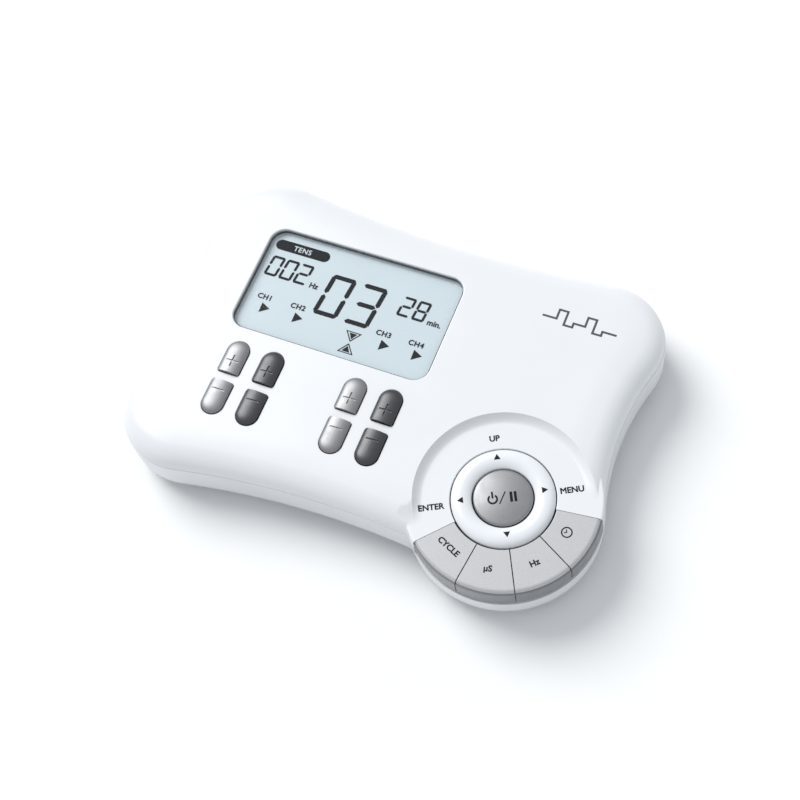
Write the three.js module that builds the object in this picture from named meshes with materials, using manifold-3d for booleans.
// Handheld four-channel nerve stimulator (TENS unit), lying flat on its feet.
// Millimetres. +X runs along the long side, +Y away from the user, +Z up.
// The origin is the middle of the footprint, on the surface that the feet stand on.

import * as THREE from 'three';
import { mergeVertices } from 'three/addons/utils/BufferGeometryUtils.js';
import Module from 'manifold-3d';

const wasm = await Module();
wasm.setup();

// ---------------------------------------------------------------- driving dimensions

const clearance = 0.3; // gap left between pieces that touch
const topZ = 24.4; // flat top face of the case
const skirtZ = 5.5; // lower edge of the upper case half
const wall = 2; // thickness of the mouldings

// Case outline: four round lobes joined by hollow sides.
const backLeft = { x: -59.4, y: 35.6, r: 25.5 };
const frontLeft = { x: -59.9, y: -32, r: 23.4 };
const backRight = { x: 63, y: 36.3, r: 21.5 };
const nav = { x: 52.6, y: -28.8, r: 32.3 }; // round control lobe at the front right
const leftHollowR = 118;
const backHollowR = 417;
const rightHollowR = 87.7;
const frontWaist = { x: 4.3, y: -49 }; // innermost point of the front side
const lobeFilletR = 4; // where the front side runs into the control lobe
const topEdgeR = 6; // height of the rounded top edge
const topEdgeRun = 8.5; // its width in plan

// Control lobe.
const plateauZ = topZ - 2.3; // sunk round field around the navigation ring
const stepInnerR = 25.9; // foot of the slope from the field up to the top face
const stepOuterR = 28.9;
const fieldReach = 42; // the field runs out past the lobe's rim at both ends of the slope
const lobeRimR = 0.9; // rounding of the field's outer rim
const textTurn = 27; // degrees that the lobe's lettering is turned
const ringR = 16.7;
const powerKeyR = 9.6;
const keySkirtZ = 13.9; // lower edge of the function keys' outer wall
const keyLedgeZ = 13.1; // rim under the function keys
const functionKeySpan = 34.8; // degrees covered by one function key
const functionKeyMiddle = textTurn - 90; // direction of the middle of the four keys

// Display.
const screen = { x: -22.4, y: 20.2, width: 73.1, depth: 41.2, corner: 5.5 };

// Channel keys: two pairs of columns, a plus key behind a minus key in each column.
const keyWidth = 7.8;
const keyLength = 12.4;
const keyCorner = 0.8;
const keyField = { x: -22, y: -20 };
const pairOffset = 21.8;
const columnOffset = 6.5;
const keyRowGap = 3.4;
const keyTopZ = topZ + 1.5;
const keyFootZ = topZ - 4.1;

// Lower half, battery bay and board.
const trayInset = 2.8;
const trayZ = 1.2;
const trayRimZ = 7;
const boardZ = 16.2;
const boardThickness = 1.6;
const cellR = 5.25;
const cellLength = 44.5;
const cellPitch = 11.2;
const bay = { x: screen.x, y: screen.y, halfWidth: 29.1, halfDepth: 17.2, ceilingZ: 14.4 };
const doorSpan = 26.7; // half the width of the battery door's outer face
const doorFrontY = 1.4;

// Output sockets in the back wall.
const socketZ = 11.8;
const socketPitch = 24;
const socketMiddleX = 16;
const socketNoseR = 3.4;
const plugBoreR = 1.75;

// ---------------------------------------------------------------- solids and booleans

// Merges a geometry's shared corners and turns its faces outward.
function closed(geometry) {
  const bare = geometry.index ? geometry.toNonIndexed() : geometry.clone();
  bare.deleteAttribute('normal');
  bare.deleteAttribute('uv');
  const merged = mergeVertices(bare, 1e-4);
  const p = merged.attributes.position.array;
  const kept = [];
  let volume = 0;
  for (let i = 0; i < merged.index.count; i += 3) {
    const [a, b, c] = [0, 1, 2].map((k) => merged.index.array[i + k]);
    if (a === b || b === c || c === a) continue;
    kept.push(a, b, c);
    const [u, v, w] = [a, b, c].map((n) => new THREE.Vector3().fromArray(p, n * 3));
    volume += u.dot(v.cross(w));
  }
  if (volume < 0) kept.reverse();
  merged.setIndex(kept);
  return merged;
}

function toManifold(geometry) {
  const solid = closed(geometry);
  const vertProperties = Float32Array.from(solid.attributes.position.array);
  const triVerts = Uint32Array.from(solid.index.array);
  return new wasm.Manifold(new wasm.Mesh({ numProp: 3, vertProperties, triVerts }));
}

function fromManifold(manifold) {
  const mesh = manifold.getMesh();
  const geometry = new THREE.BufferGeometry();
  geometry.setAttribute('position', new THREE.BufferAttribute(mesh.vertProperties, 3));
  geometry.setIndex(new THREE.BufferAttribute(mesh.triVerts, 1));
  return geometry;
}

function combine(operation, first, others) {
  let result = toManifold(first);
  for (const other of others) result = result[operation](toManifold(other));
  return fromManifold(result);
}

const join = (first, ...others) => combine('add', first, others);
const cut = (first, ...others) => combine('subtract', first, others);
const common = (first, ...others) => combine('intersect', first, others);

// Solid through equal rings of points; levels are [z, inset] from the bottom up.
function loft(outline, levels) {
  const rings = levels.map(([, inset]) => outline(inset));
  const count = rings[0].length;
  const positions = [];
  rings.forEach((ring, k) => ring.forEach((q) => positions.push(q.x, q.y, levels[k][0])));
  const index = [];
  for (let k = 0; k + 1 < rings.length; k += 1) {
    for (let i = 0; i < count; i += 1) {
      const j = (i + 1) % count;
      const [a, b] = [k * count + i, k * count + j];
      index.push(a, b, b + count, a, b + count, a + count);
    }
  }
  const lastStart = (rings.length - 1) * count;
  for (const [a, b, c] of THREE.ShapeUtils.triangulateShape(rings[0], [])) index.push(c, b, a);
  for (const [a, b, c] of THREE.ShapeUtils.triangulateShape(rings.at(-1), [])) {
    index.push(a + lastStart, b + lastStart, c + lastStart);
  }
  const geometry = new THREE.BufferGeometry();
  geometry.setAttribute('position', new THREE.Float32BufferAttribute(positions, 3));
  geometry.setIndex(index);
  return geometry;
}

const slab = (outline, z0, z1, inset = 0) => loft(outline, [[z0, inset], [z1, inset]]);

// Solid of revolution about the vertical axis; the profile is a list of [radius, z].
function revolve(profile, segments = 40) {
  const points = profile.map(([r, z]) => new THREE.Vector2(r, z));
  return closed(new THREE.LatheGeometry(points, segments).rotateX(Math.PI / 2));
}

// Revolved ring whose profile closes on itself.
const revolveRing = (profile, segments) => revolve([...profile, profile[0]], segments);

const cylinder = (r, z0, z1, segments = 32) =>
  new THREE.CylinderGeometry(r, r, z1 - z0, segments).rotateX(Math.PI / 2).translate(0, 0, (z0 + z1) / 2);

const box = (x0, x1, y0, y1, z0, z1) =>
  new THREE.BoxGeometry(x1 - x0, y1 - y0, z1 - z0).translate((x0 + x1) / 2, (y0 + y1) / 2, (z0 + z1) / 2);

const moved = (geometry, place, z = 0) => geometry.clone().translate(place.x, place.y, z);

// ---------------------------------------------------------------- outlines

const radians = (degrees) => (degrees * Math.PI) / 180;
const direction = (degrees) => new THREE.Vector2(Math.cos(radians(degrees)), Math.sin(radians(degrees)));

// Points of one arc from angle a to angle b, in radians, without its last point.
function arc(centre, r, a, b, steps) {
  return Array.from({ length: steps }, (_, i) => {
    const angle = a + ((b - a) * i) / steps;
    return new THREE.Vector2(centre.x + r * Math.cos(angle), centre.y + r * Math.sin(angle));
  });
}

// Centre of the circle at distance ra from a and rb from b, to the right of the way a to b.
function circleMeeting(a, ra, b, rb) {
  const along = new THREE.Vector2(b.x - a.x, b.y - a.y);
  const gap = along.length();
  along.normalize();
  const run = (ra * ra - rb * rb + gap * gap) / (2 * gap);
  const rise = Math.sqrt(ra * ra - run * run);
  return { x: a.x + along.x * run + along.y * rise, y: a.y + along.y * run - along.x * rise };
}

const hollowBetween = (a, b, r) => ({ ...circleMeeting(a, a.r + r, b, b.r + r), r });

// The front hollow touches the front left lobe and has its waist at frontWaist.
function frontHollow() {
  const dx = frontWaist.x - frontLeft.x;
  const dy = frontWaist.y - frontLeft.y;
  const r = (dx * dx + dy * dy - frontLeft.r ** 2) / (2 * (frontLeft.r + dy));
  return { x: frontWaist.x, y: frontWaist.y - r, r };
}

const front = frontHollow();
const fillet = { ...circleMeeting(nav, nav.r + lobeFilletR, front, front.r - lobeFilletR), r: lobeFilletR };
const right = hollowBetween(nav, backRight, rightHollowR);
const back = hollowBetween(backRight, backLeft, backHollowR);
const left = hollowBetween(backLeft, frontLeft, leftHollowR);

const heading = (from, to) => Math.atan2(to.y - from.y, to.x - from.x);
const upFrom = (a, b) => (b < a ? b + 2 * Math.PI : b);
const downFrom = (a, b) => (b > a ? b - 2 * Math.PI : b);

const lobeArc = (lobe, before, after, steps) => {
  const a = heading(lobe, before);
  return { ...lobe, a, b: upFrom(a, heading(lobe, after)), steps, sign: -1 };
};
const hollowArc = (hollow, a, to, steps) => ({ ...hollow, a, b: downFrom(a, heading(hollow, to)), steps, sign: 1 });

const caseArcs = [
  lobeArc(frontLeft, left, front, 9),
  hollowArc(front, heading(front, frontLeft), fillet, 6),
  hollowArc(fillet, heading(front, fillet), nav, 3),
  lobeArc(nav, fillet, right, 26),
  hollowArc(right, heading(right, nav), backRight, 6),
  lobeArc(backRight, right, back, 9),
  hollowArc(back, heading(back, backRight), backLeft, 6),
  lobeArc(backLeft, back, left, 9),
  hollowArc(left, heading(left, backLeft), frontLeft, 6),
];

const caseOutline = (inset) =>
  caseArcs.flatMap((part) => arc(part, part.r + part.sign * inset, part.a, part.b, part.steps));

// Height of the back side at x, for the pieces that sit in the back wall.
const backSideY = (x) => back.y - Math.sqrt(back.r ** 2 - (x - back.x) ** 2);

const roundedRectangle = (centre, width, depth, corner) => (inset) => {
  const r = Math.max(corner - inset, 0.2);
  const [hw, hd] = [width / 2 - inset - r, depth / 2 - inset - r];
  const corners = [[1, 1], [-1, 1], [-1, -1], [1, -1]];
  return corners.flatMap(([sx, sy], i) => {
    const at = { x: centre.x + sx * hw, y: centre.y + sy * hd };
    return [...arc(at, r, (i * Math.PI) / 2, ((i + 1) * Math.PI) / 2, 5),
      new THREE.Vector2(at.x + r * Math.cos(((i + 1) * Math.PI) / 2), at.y + r * Math.sin(((i + 1) * Math.PI) / 2))];
  });
};

// D-shaped key: flat end at y = 0 with small corners, round end at y = keyLength.
const keyOutline = (inset) => {
  const half = keyWidth / 2 - inset;
  const r = Math.max(keyCorner - inset, 0.15);
  const endCentre = { x: 0, y: keyLength - keyWidth / 2 };
  return [
    ...arc({ x: -half + r, y: inset + r }, r, Math.PI, 1.5 * Math.PI, 3),
    new THREE.Vector2(-half + r, inset),
    ...arc({ x: half - r, y: inset + r }, r, 1.5 * Math.PI, 2 * Math.PI, 3),
    new THREE.Vector2(half, inset + r),
    ...arc(endCentre, half, 0, Math.PI, 14),
    new THREE.Vector2(-half, endCentre.y),
  ];
};

// Wedge of the control lobe between two directions, with its sides moved in by margin.
function lobeWedge(fromDegrees, toDegrees, margin, z0, z1) {
  const half = radians(toDegrees - fromDegrees) / 2;
  const middle = direction((fromDegrees + toDegrees) / 2);
  const apex = middle.clone().multiplyScalar(margin / Math.sin(half)).add(nav);
  const reach = 60;
  const ends = [0, 0.25, 0.5, 0.75, 1].map((t) => direction(fromDegrees + t * (toDegrees - fromDegrees)));
  const points = [apex, ...ends.map((d) => d.multiplyScalar(reach).add(apex))];
  return slab(() => points, z0, z1);
}

// ---------------------------------------------------------------- scene graph

const unit = new THREE.Group();

const materials = {
  whiteShell: { color: 0xf2f4f6, roughness: 0.35 },
  greyShell: { color: 0xc9ced3, roughness: 0.5 },
  clearLens: { color: 0xdfe8ee, roughness: 0.05 },
  display: { color: 0xc6d6dc, roughness: 0.2 },
  silverKey: { color: 0xb9babc, roughness: 0.35, metalness: 0.6 },
  darkKey: { color: 0x3c3d40, roughness: 0.35, metalness: 0.6 },
  greyKey: { color: 0xc9c9cb, roughness: 0.45, metalness: 0.3 },
  circuit: { color: 0x1d5b36, roughness: 0.5 },
  rubber: { color: 0x2a2a2c, roughness: 0.9 },
  siliconeMat: { color: 0xb8bcc0, roughness: 0.8 },
  blackPlastic: { color: 0x1c1c1e, roughness: 0.6 },
  steel: { color: 0xb4b6b8, roughness: 0.3, metalness: 0.9 },
  cell: { color: 0x2d4a78, roughness: 0.35, metalness: 0.4 },
  copper: { color: 0x9a5a2c, roughness: 0.5, metalness: 0.5 },
};

function add(name, geometry, material, place = { x: 0, y: 0 }, turn = 0) {
  const mesh = new THREE.Mesh(closed(geometry), new THREE.MeshStandardMaterial(materials[material]));
  mesh.name = name;
  mesh.position.set(place.x, place.y, place.z ?? 0);
  mesh.rotation.z = turn;
  unit.add(mesh);
}

// ---------------------------------------------------------------- shared places

// Screw bosses stand just inside the wall, in three lobes and at the front waist.
const bossDepth = 6.6;
const bossIn = (lobe, degrees) => direction(degrees).multiplyScalar(lobe.r - bossDepth).add(lobe);
const bosses = [
  bossIn(backLeft, 139),
  bossIn(frontLeft, 221),
  bossIn(backRight, 44),
  { x: frontWaist.x, y: frontWaist.y + bossDepth },
];
const feet = [backLeft, frontLeft, backRight, nav];

const keyColumns = [-1, 1].flatMap((pair) =>
  [-1, 1].map((column) => keyField.x + pair * pairOffset + column * columnOffset));

// Each key's flat end faces its partner across the row gap; the minus key is turned about.
const channelKeys = keyColumns.flatMap((x, column) => [
  { name: `channel_${column + 1}_plus_key`, x, y: keyField.y + keyRowGap / 2, turn: 0, column },
  { name: `channel_${column + 1}_minus_key`, x, y: keyField.y - keyRowGap / 2, turn: Math.PI, column },
]);

const placedKey = (key, levels) => moved(loft(keyOutline, levels).rotateZ(key.turn), key);

const sockets = [-1.5, -0.5, 0.5, 1.5].map((step) => {
  const x = socketMiddleX + step * socketPitch;
  return { x, y: backSideY(x), z: socketZ };
});

const functionKeys = ['cycle_key', 'pulse_width_key', 'frequency_key', 'timer_key'].map((name, i) => {
  const from = functionKeyMiddle + (i - 2) * functionKeySpan;
  return { name, from, to: from + functionKeySpan };
});
const keysFrom = functionKeys[0].from;
const keysTo = functionKeys.at(-1).to;

// ---------------------------------------------------------------- case halves

// Rounded top edge, given as [z, inset] from the foot of the rounding to its top; its width in
// plan may be larger than its height.
const roundedEdge = (z, r, inset, steps, run = r) =>
  Array.from({ length: steps + 1 }, (_, i) => {
    const angle = (i / steps) * (Math.PI / 2);
    return [z - r + r * Math.sin(angle), inset + run - run * Math.cos(angle)];
  });

const shellOutside = () => join(loft(caseOutline, [
  [skirtZ, 0.8],
  [skirtZ + 0.7, 0.15],
  [skirtZ + 5, 0],
  [skirtZ + 10, 0.1],
  ...roundedEdge(topZ, topEdgeR, 0.4, 6, topEdgeRun),
]), lobeDrum());

// The control lobe is an upright drum up to the field's rim, where the case is already rounded.
function lobeDrum() {
  const rim = roundedEdge(plateauZ, lobeRimR, 0.35, 3).map(([z, inset]) => [nav.r - inset, z]);
  return moved(revolve([[0, keyLedgeZ], [nav.r - 0.35, keyLedgeZ], ...rim, [0, plateauZ]], 88), nav);
}

const shellInside = () => cut(
  loft(caseOutline, [[skirtZ - 1, wall + 0.4], ...roundedEdge(topZ - wall, topEdgeR - wall, wall + 0.4, 3)]),
  moved(cylinder(fieldReach - wall, plateauZ - wall, topZ, 56), nav),
);

const smooth = (t) => THREE.MathUtils.smoothstep(t, 0, 1);

// Share of the slope's height: whole behind the ring, dying away towards the function keys,
// where the case's own edge is already rounding down to the field.
const slopeShare = (degrees) => smooth((degrees - 18) / 28) * (1 - smooth((degrees - 199) / 18));

// Cutter for the sunk field: flat floor, then a cove that rises to the top face.
function fieldCutter() {
  const segments = 72;
  const steps = 5;
  const rise = topZ - plateauZ;
  const lip = 0.3;
  const positions = [0, 0, plateauZ, 0, 0, topZ + 2];
  for (let i = 0; i < segments; i += 1) {
    const degrees = (360 * i) / segments;
    const share = slopeShare(degrees);
    const ray = direction(degrees);
    const put = (r, z) => positions.push(ray.x * r, ray.y * r, z);
    for (let k = 0; k <= steps; k += 1) {
      const t = k / steps;
      put(stepInnerR + (stepOuterR - stepInnerR) * t, plateauZ + share * rise * t ** 1.8);
    }
    put(stepOuterR + lip, plateauZ + share * (rise + lip));
    put(fieldReach, plateauZ + share * (rise + lip));
    put(fieldReach, topZ + 2);
  }
  const rows = steps + 4;
  const at = (i, k) => 2 + (i % segments) * rows + k;
  const index = [];
  for (let i = 0; i < segments; i += 1) {
    index.push(0, at(i + 1, 0), at(i, 0), 1, at(i, rows - 1), at(i + 1, rows - 1));
    for (let k = 0; k + 1 < rows; k += 1) {
      index.push(at(i, k), at(i + 1, k), at(i + 1, k + 1), at(i, k), at(i + 1, k + 1), at(i, k + 1));
    }
  }
  const geometry = new THREE.BufferGeometry();
  geometry.setAttribute('position', new THREE.Float32BufferAttribute(positions, 3));
  geometry.setIndex(index);
  return moved(geometry, nav);
}

// Ledge inside the case wall under the function keys, with the fence that closes it off.
function functionKeyLedge() {
  const fenceTopZ = 19.4;
  const ring = revolveRing([
    [27.6, keyLedgeZ - 3], [30.6, keyLedgeZ - 3], [30.6, keyLedgeZ],
    [29.2, keyLedgeZ], [29.2, fenceTopZ], [27.6, fenceTopZ],
  ], 60);
  return common(moved(ring, nav), lobeWedge(keysFrom - 3, keysTo + 3, 0, 8, 20));
}

function upperHousing() {
  const body = cut(shellOutside(), shellInside(), fieldCutter());
  const keyHole = [[topZ - wall - 1, -clearance], [topZ + 1, -clearance]];
  const openings = [
    loft(screenOutline, [[topZ - wall - 1, 0], [topZ - 0.5, 0], [topZ, -0.5], [topZ + 1, -0.5]]),
    ...channelKeys.map((key) => placedKey(key, keyHole)),
    moved(cylinder(ringR + 0.4, plateauZ - wall - 1, topZ, 64), nav),
    lobeWedge(keysFrom, keysTo, 0, keyLedgeZ, topZ + 2),
    ...sockets.map(({ x, y }) => socketCutter(x, y)),
  ];
  const posts = bosses.map((place) => moved(revolveRing([[1.3, 9.3], [3, 9.3], [3, topZ - 1.8], [1.3, topZ - 1.8]], 20), place));
  return join(cut(body, ...openings), functionKeyLedge(), ...posts);
}

const socketCutter = (x, y) =>
  cylinder(socketNoseR + 0.4, -4, 4, 20).rotateX(Math.PI / 2).translate(x, y, socketZ);

// Dished tray with the battery bay, four screw posts and the rails of the battery door.
function lowerHousing() {
  const outside = loft(caseOutline, [[trayZ, trayInset + 1], [trayZ + 1, trayInset], [trayRimZ, trayInset]]);
  const inside = slab(caseOutline, trayZ + wall, trayRimZ + 1, trayInset + 1.8);
  const bayOutside = bayBox(1.6, trayZ + wall - 0.2, bay.ceilingZ + 1.5);
  const bayInside = bayBox(0, trayZ + 1, bay.ceilingZ);
  const posts = bosses.map((place) => moved(cylinder(2.9, trayZ, 8.9, 20), place));
  const counterbores = bosses.map((place) => moved(cylinder(2.1, 0, 3.6, 20), place));
  const screwHoles = bosses.map((place) => moved(cylinder(1.3, 3, 10, 12), place));
  const footRecesses = feet.map((place) => moved(cylinder(5.4, 0, trayZ + 0.6, 28), place));
  const shell = join(cut(outside, inside), bayOutside, ...posts);
  return cut(shell, bayInside, ...doorway(), ...counterbores, ...screwHoles, ...footRecesses);
}

const bayBox = (margin, z0, z1) => box(
  bay.x - bay.halfWidth - margin, bay.x + bay.halfWidth + margin,
  bay.y - bay.halfDepth - margin, bay.y + bay.halfDepth + margin, z0, z1,
);

// Space of the battery door: a narrow slot in the floor, a wider channel over it for the
// door's side flanges, both open at the back edge of the tray.
const doorway = () => [
  box(bay.x - doorSpan - clearance, bay.x + doorSpan + clearance, doorFrontY, 70, 0, 5.3),
  box(bay.x - bay.halfWidth, bay.x + bay.halfWidth, doorFrontY, 70, trayZ + 1, 3.5),
];

// The door follows the tray's edge at the back and hooks under the tray with two flanges.
function batteryDoor() {
  const trayEdge = loft(caseOutline, [[trayZ, trayInset + 1], [trayZ + 1, trayInset], [5, trayInset]]);
  const hollow = slab(caseOutline, trayZ + wall, 6, trayInset + 1.8);
  const y0 = doorFrontY + clearance;
  const plate = box(bay.x - doorSpan, bay.x + doorSpan, y0, 70, 0, 6);
  const flanges = box(bay.x - doorSpan - 2.1, bay.x + doorSpan + 2.1, y0, 44, trayZ + 1.3, trayZ + wall);
  const gripLines = [0, 1, 2, 3].map((i) => box(bay.x - 9, bay.x + 9, 38 + 2.4 * i, 39.2 + 2.4 * i, 0, trayZ + 0.5));
  return cut(join(common(cut(trayEdge, hollow), plate), flanges), ...gripLines);
}

// ---------------------------------------------------------------- display

const screenOutline = roundedRectangle(screen, screen.width, screen.depth, screen.corner);
const windowTopZ = topZ - 0.8;
const frameTopZ = topZ - wall - clearance;

function addDisplay() {
  add('lcd_window', loft(screenOutline, [[windowTopZ - 1.1, clearance], [windowTopZ - 0.15, clearance], [windowTopZ, 0.5]]), 'clearLens');
  const frameOutside = roundedRectangle(screen, 80, 49, 2);
  const frameInside = roundedRectangle(screen, 74, 42.4, 1);
  add('lcd_frame', cut(slab(frameOutside, 18.2, frameTopZ), slab(frameInside, 18, frameTopZ + 1)), 'blackPlastic');
  const glass = roundedRectangle(screen, 73, 41.4, 0.5);
  add('lcd_panel', slab(glass, frameTopZ - 1.8, frameTopZ - 0.1), 'display');
  add('backlight', slab(glass, frameTopZ - 3.6, frameTopZ - 2.1), 'clearLens');
}

// ---------------------------------------------------------------- keys

// Pillow-topped key with a flange that holds it under the case.
function channelKey() {
  const flangeZ = topZ - wall - clearance;
  const stem = loft(keyOutline, [
    [keyFootZ, 0],
    [keyTopZ - 0.9, 0],
    [keyTopZ - 0.45, 0.25],
    [keyTopZ - 0.12, 0.8],
    [keyTopZ, 1.9],
  ]);
  return join(stem, slab(keyOutline, flangeZ - 0.9, flangeZ, -0.8));
}

function addChannelKeys() {
  const shape = channelKey();
  for (const key of channelKeys) add(key.name, shape, key.column % 2 ? 'darkKey' : 'silverKey', key, key.turn);
}

// Rocker ring around the power key: outer flank, rounded crest, dip towards the middle.
function addNavigationKeys() {
  const crest = 23.5;
  const ring = revolveRing([
    [10, 20.4], [ringR, 20.4], [ringR, plateauZ + 0.1], [16.2, plateauZ + 0.7], [15.4, crest - 0.3],
    [14.2, crest], [12.6, crest - 0.25], [11.2, crest - 0.75], [10, crest - 1.2],
  ], 56);
  add('navigation_ring', ring, 'whiteShell', nav);
  const dome = [[powerKeyR, 22.2], [9.2, 22.6], [7.4, 23.0], [4.6, 23.3], [0, 23.45]];
  add('power_key', revolve([[0, 19.9], [powerKeyR, 19.9], ...dome], 48), 'silverKey', nav);
  add('navigation_switch_pad', revolveRing([[10.6, 18.7], [16, 18.7], [16, 19.5], [10.6, 19.5]], 36), 'siliconeMat', nav);
  add('power_switch', new THREE.BoxGeometry(6, 6, 0.7), 'blackPlastic', { ...nav, z: 18.5 });
}

// The four grey keys share one cross-section: a top plate and an outer wall below it.
function addFunctionKeys() {
  const innerR = ringR + 0.6;
  const outerR = nav.r - 0.4;
  const section = [
    [innerR, 20.3], [outerR - 1.8, 20.3], [outerR - 1.8, keySkirtZ], [outerR, keySkirtZ],
    [outerR, plateauZ - 1.5], [outerR - 0.15, plateauZ - 0.8], [outerR - 0.5, plateauZ - 0.3],
    [outerR - 1.1, plateauZ], [innerR, plateauZ],
  ];
  const ring = moved(revolveRing(section, 100), nav);
  const underside = { x: -nav.x, y: -nav.y };
  for (const { name, from, to } of functionKeys) {
    const key = common(ring, lobeWedge(from, to, clearance / 2 + 0.02, 10, 30));
    add(name, moved(key, underside), 'greyKey', nav);
  }
  const mat = moved(revolveRing([[18.5, 18.1], [22.3, 18.1], [22.3, 19.4], [18.5, 19.4]], 60), nav);
  const strip = common(mat, lobeWedge(keysFrom + 2, keysTo - 2, 0, 10, 30));
  add('function_key_mat', moved(strip, underside), 'siliconeMat', nav);
}

// ---------------------------------------------------------------- inner parts

function addElectronics() {
  const boardTop = boardZ + boardThickness;
  add('main_board', slab(caseOutline, boardZ, boardTop, 10), 'circuit');
  const sheet = roundedRectangle({ x: keyField.x, y: keyField.y }, 68, 29, 1.5);
  const domes = channelKeys.map((key) => {
    const offset = (key.turn ? -1 : 1) * keyLength * 0.5;
    return cylinder(2.8, boardTop + 0.6, keyFootZ - 1.1, 16).translate(key.x, key.y + offset, 0);
  });
  add('keypad_mat', join(slab(sheet, boardTop + clearance, boardTop + 1.2), ...domes), 'siliconeMat');
  for (let i = 0; i < 4; i += 1) {
    const place = { x: 16.5 + 14.5 * i, y: 31, z: 11.4 };
    add(`output_transformer_${i + 1}`, new THREE.BoxGeometry(11, 10.5, 9), 'copper', place);
  }
  add('buzzer', revolve([[0, 10.9], [5.6, 10.9], [6, 11.3], [6, 15.9], [0, 15.9]], 32), 'blackPlastic', { x: 30, y: -8 });
  add('controller_chip', new THREE.BoxGeometry(10, 10, 1.2), 'blackPlastic', { x: 28, y: -2, z: boardTop + 0.9 });
}

// Lead sockets: a round nose through the back wall on a square block.
function addSockets() {
  sockets.forEach(({ x, y }, i) => {
    const block = new THREE.BoxGeometry(9, 9.6, 8).translate(0, -8.2, 0);
    const nose = cylinder(socketNoseR, 0.5, 4, 24).rotateX(Math.PI / 2);
    const bore = cylinder(plugBoreR, -1, 11, 16).rotateX(Math.PI / 2);
    add(`output_socket_${i + 1}`, cut(join(block, nose), bore), 'blackPlastic', { x, y, z: socketZ });
  });
}

// Round cells in series, so neighbours lie end for end, each between a spring and a plate.
function addBatteries() {
  const half = cellLength / 2;
  const nub = 0.9;
  const cell = revolve([
    [0, -half], [cellR - 0.5, -half], [cellR, -half + 0.5], [cellR, half - nub - 0.5], [cellR - 0.5, half - nub],
    [1.9, half - nub], [1.9, half], [0, half],
  ], 28).rotateY(Math.PI / 2);
  const spring = join(
    new THREE.BoxGeometry(0.5, 9, 9).translate(-5.6, 0, 0),
    new THREE.CylinderGeometry(2.2, 3.6, 5.4, 20).rotateZ(-Math.PI / 2).translate(-2.95, 0, 0),
  );
  const plate = join(
    new THREE.BoxGeometry(0.5, 9, 9).translate(5.6, 0, 0),
    new THREE.CylinderGeometry(3.4, 2.6, 5.2, 20).rotateZ(-Math.PI / 2).translate(2.9, 0, 0),
  );
  for (let i = 0; i < 3; i += 1) {
    const y = bay.y + (i - 1) * cellPitch;
    const z = 3.6 + cellR;
    const facing = i % 2 ? Math.PI : 0;
    const side = i % 2 ? -1 : 1;
    add(`battery_cell_${i + 1}`, cell, 'cell', { x: bay.x, y, z }, facing);
    add(`battery_spring_${i + 1}`, spring, 'steel', { x: bay.x - side * (half + 0.3), y, z }, facing);
    add(`battery_contact_${i + 1}`, plate, 'steel', { x: bay.x + side * (half + 0.3), y, z }, facing);
  }
}

function addFasteners() {
  const recess = new THREE.BoxGeometry(2.4, 0.6, 2).translate(0, 0, 1.9);
  const crossRecess = join(recess, recess.clone().rotateZ(Math.PI / 2));
  const screw = cut(revolve([
    [0, 1.7], [1.2, 1.7], [1.75, 2.1], [1.75, 3.3], [1, 3.3], [1, 15], [0.4, 16.2], [0, 16.2],
  ], 16), crossRecess);
  bosses.forEach((place, i) => add(`case_screw_${i + 1}`, screw, 'steel', { x: place.x, y: place.y }));
  const foot = revolve([[0, 0], [4.6, 0], [5, 0.4], [5, 1.5], [0, 1.5]], 28);
  feet.forEach((place, i) => add(`rubber_foot_${i + 1}`, foot, 'rubber', { x: place.x, y: place.y }));
}

add('upper_housing', upperHousing(), 'whiteShell');
add('lower_housing', lowerHousing(), 'greyShell');
add('battery_door', batteryDoor(), 'greyShell');
addDisplay();
addChannelKeys();
addNavigationKeys();
addFunctionKeys();
addElectronics();
addSockets();
addBatteries();
addFasteners();

export default unit;
